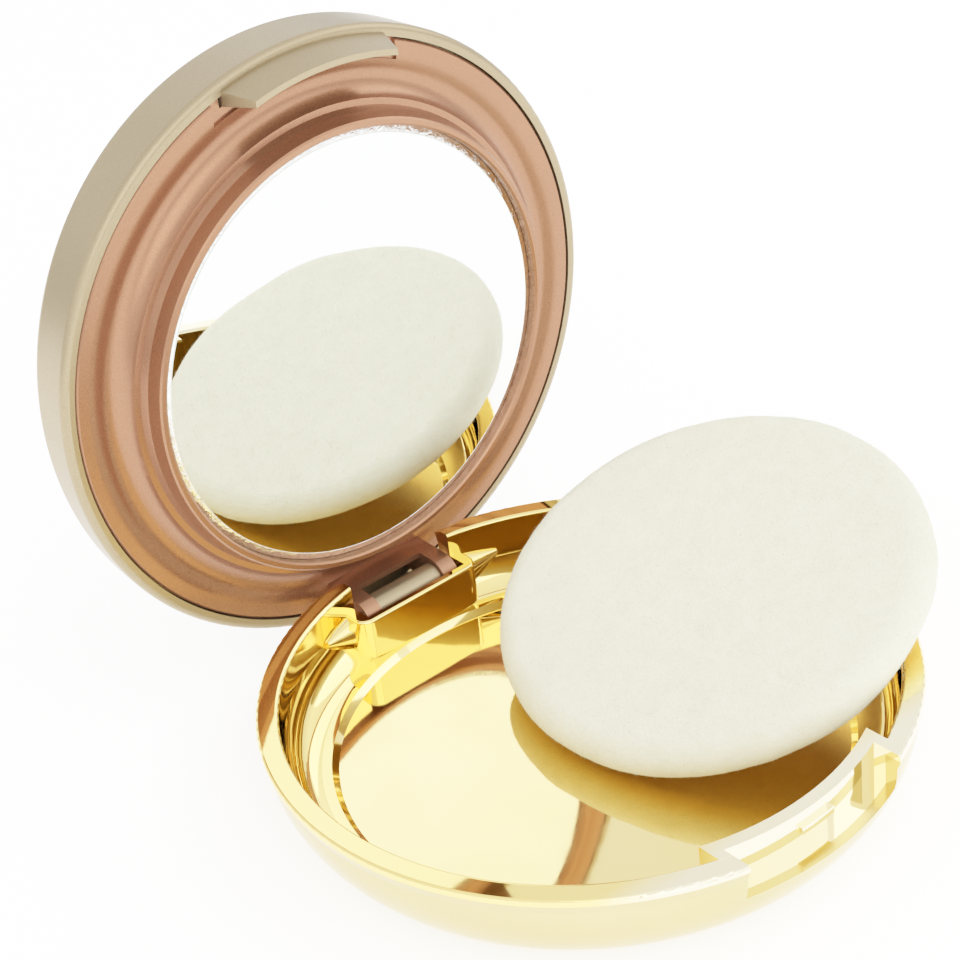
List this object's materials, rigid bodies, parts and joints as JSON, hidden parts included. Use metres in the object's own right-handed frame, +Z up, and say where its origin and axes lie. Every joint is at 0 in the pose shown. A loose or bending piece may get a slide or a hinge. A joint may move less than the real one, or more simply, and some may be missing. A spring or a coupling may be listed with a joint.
{
  "type": "powder compact",
  "caption": "Round hinged powder compact, open, with a gilt tray, a rose framed mirror in the lid and a loose velour puff leaning in the base",
  "frame": {"origin": "centre of the flat foot, on the surface the compact stands on", "axes": "+Z up from the foot, +X along the hinge, -Y from the centre to the latch"},
  "size_m": [0.0774, 0.0804, 0.0755],
  "materials": {
    "pale_gold_gloss": "glossy pale gold lacquer",
    "gold_plated": "polished gold plating on moulded plastic",
    "pin_steel": "drawn steel",
    "champagne_satin": "satin champagne lacquer on moulded plastic",
    "rose_satin": "satin rose copper lacquer on moulded plastic",
    "mirror": "silvered glass",
    "adhesive": "foam tape",
    "sponge": "soft sponge",
    "velour": "ivory flocked velour"
  },
  "bodies": {
    "base": {"base_shell": "pale_gold_gloss", "base_tray": "gold_plated", "hinge_pins": "pin_steel"},
    "lid": {"lid_shell": "champagne_satin", "lid_liner": "rose_satin", "mirror_glass": "mirror", "mirror_adhesive": "adhesive"},
    "puff": {"puff_core": "sponge", "puff_cover": "velour"}
  },
  "joints": [
    {"name": "lid_hinge", "type": "hinge", "parent": "base", "child": "lid", "pos_m": [0, 0.033, 0.0063], "axis": [1, 0, 0], "range_deg": [0, 88.1]},
    {"name": "puff_settle", "type": "hinge", "parent": "base", "child": "puff", "pos_m": [-0.01532, -0.0013, 0.06308], "axis": [0, 1, 0], "range_deg": [0, 20]}
  ],
  "couplings": [
    {"joint": "puff_settle", "follows": "lid_hinge", "ratio": 0.227}
  ]
}
